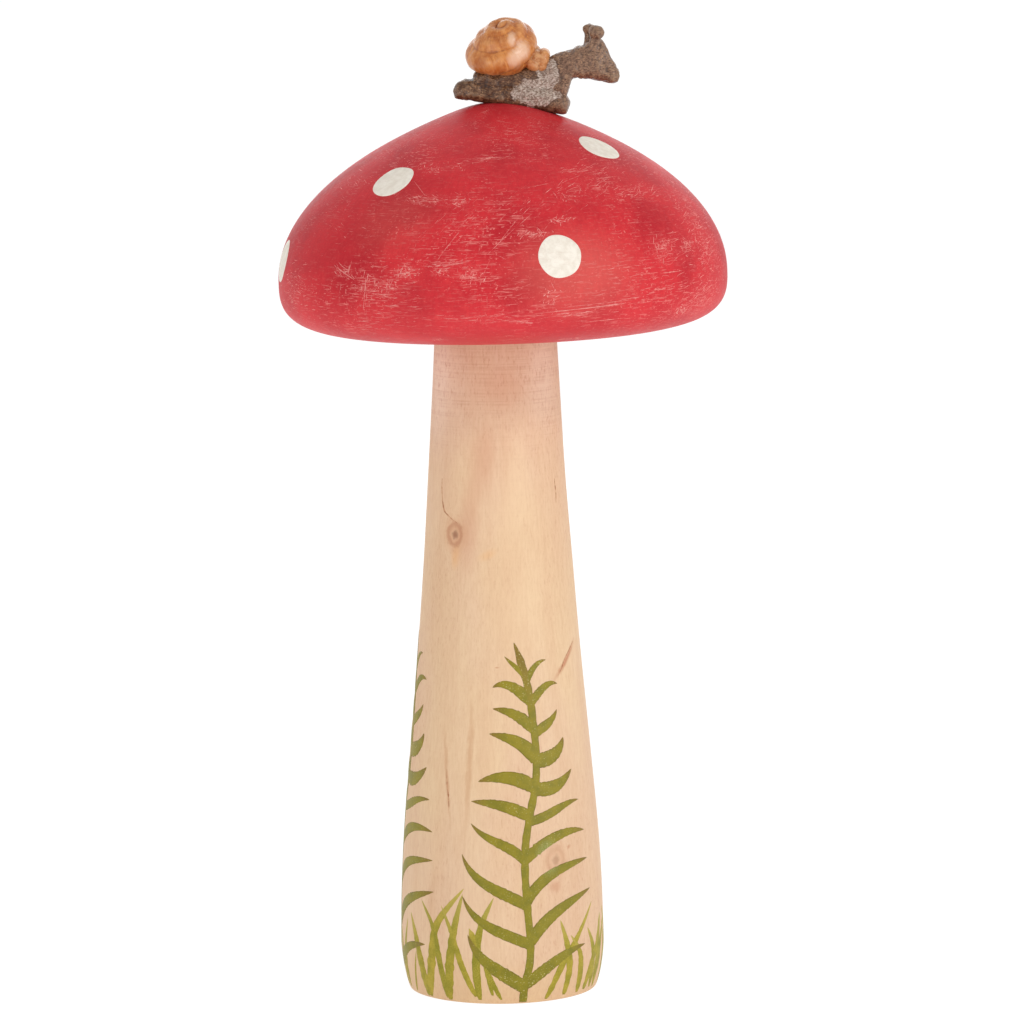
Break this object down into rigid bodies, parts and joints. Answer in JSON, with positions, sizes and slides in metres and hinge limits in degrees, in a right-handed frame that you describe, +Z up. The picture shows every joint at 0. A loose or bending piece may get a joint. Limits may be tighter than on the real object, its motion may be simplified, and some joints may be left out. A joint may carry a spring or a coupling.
{
  "type": "toadstool ornament",
  "caption": "Turned wooden toadstool with a domed, spotted red cap on a tapered stalk painted with ferns, and a cast snail resting on the crown; stands on its own flat foot.",
  "frame": {"origin": "centre of the flat foot that the stalk stands on", "axes": "+Z up along the stalk; +X the way the snail looks; -Y the side that faces the viewer"},
  "size_m": [0.0976, 0.0976, 0.213],
  "materials": {
    "stalk_wood": "sanded and sealed, with ferns and grass painted on it",
    "dowel_wood": "plain",
    "cap_paint": "satin red paint, scuffed, with off-white spots",
    "snail_body_paint": "cast resin, brown paint with a rubbed paler patch",
    "snail_shell_paint": "cast resin, glossy orange-tan paint"
  },
  "bodies": {
    "root": {"stalk": "stalk_wood", "joint_dowel": "dowel_wood", "cap": "cap_paint", "snail_body": "snail_body_paint", "snail_shell": "snail_shell_paint"}
  },
  "joints": []
}
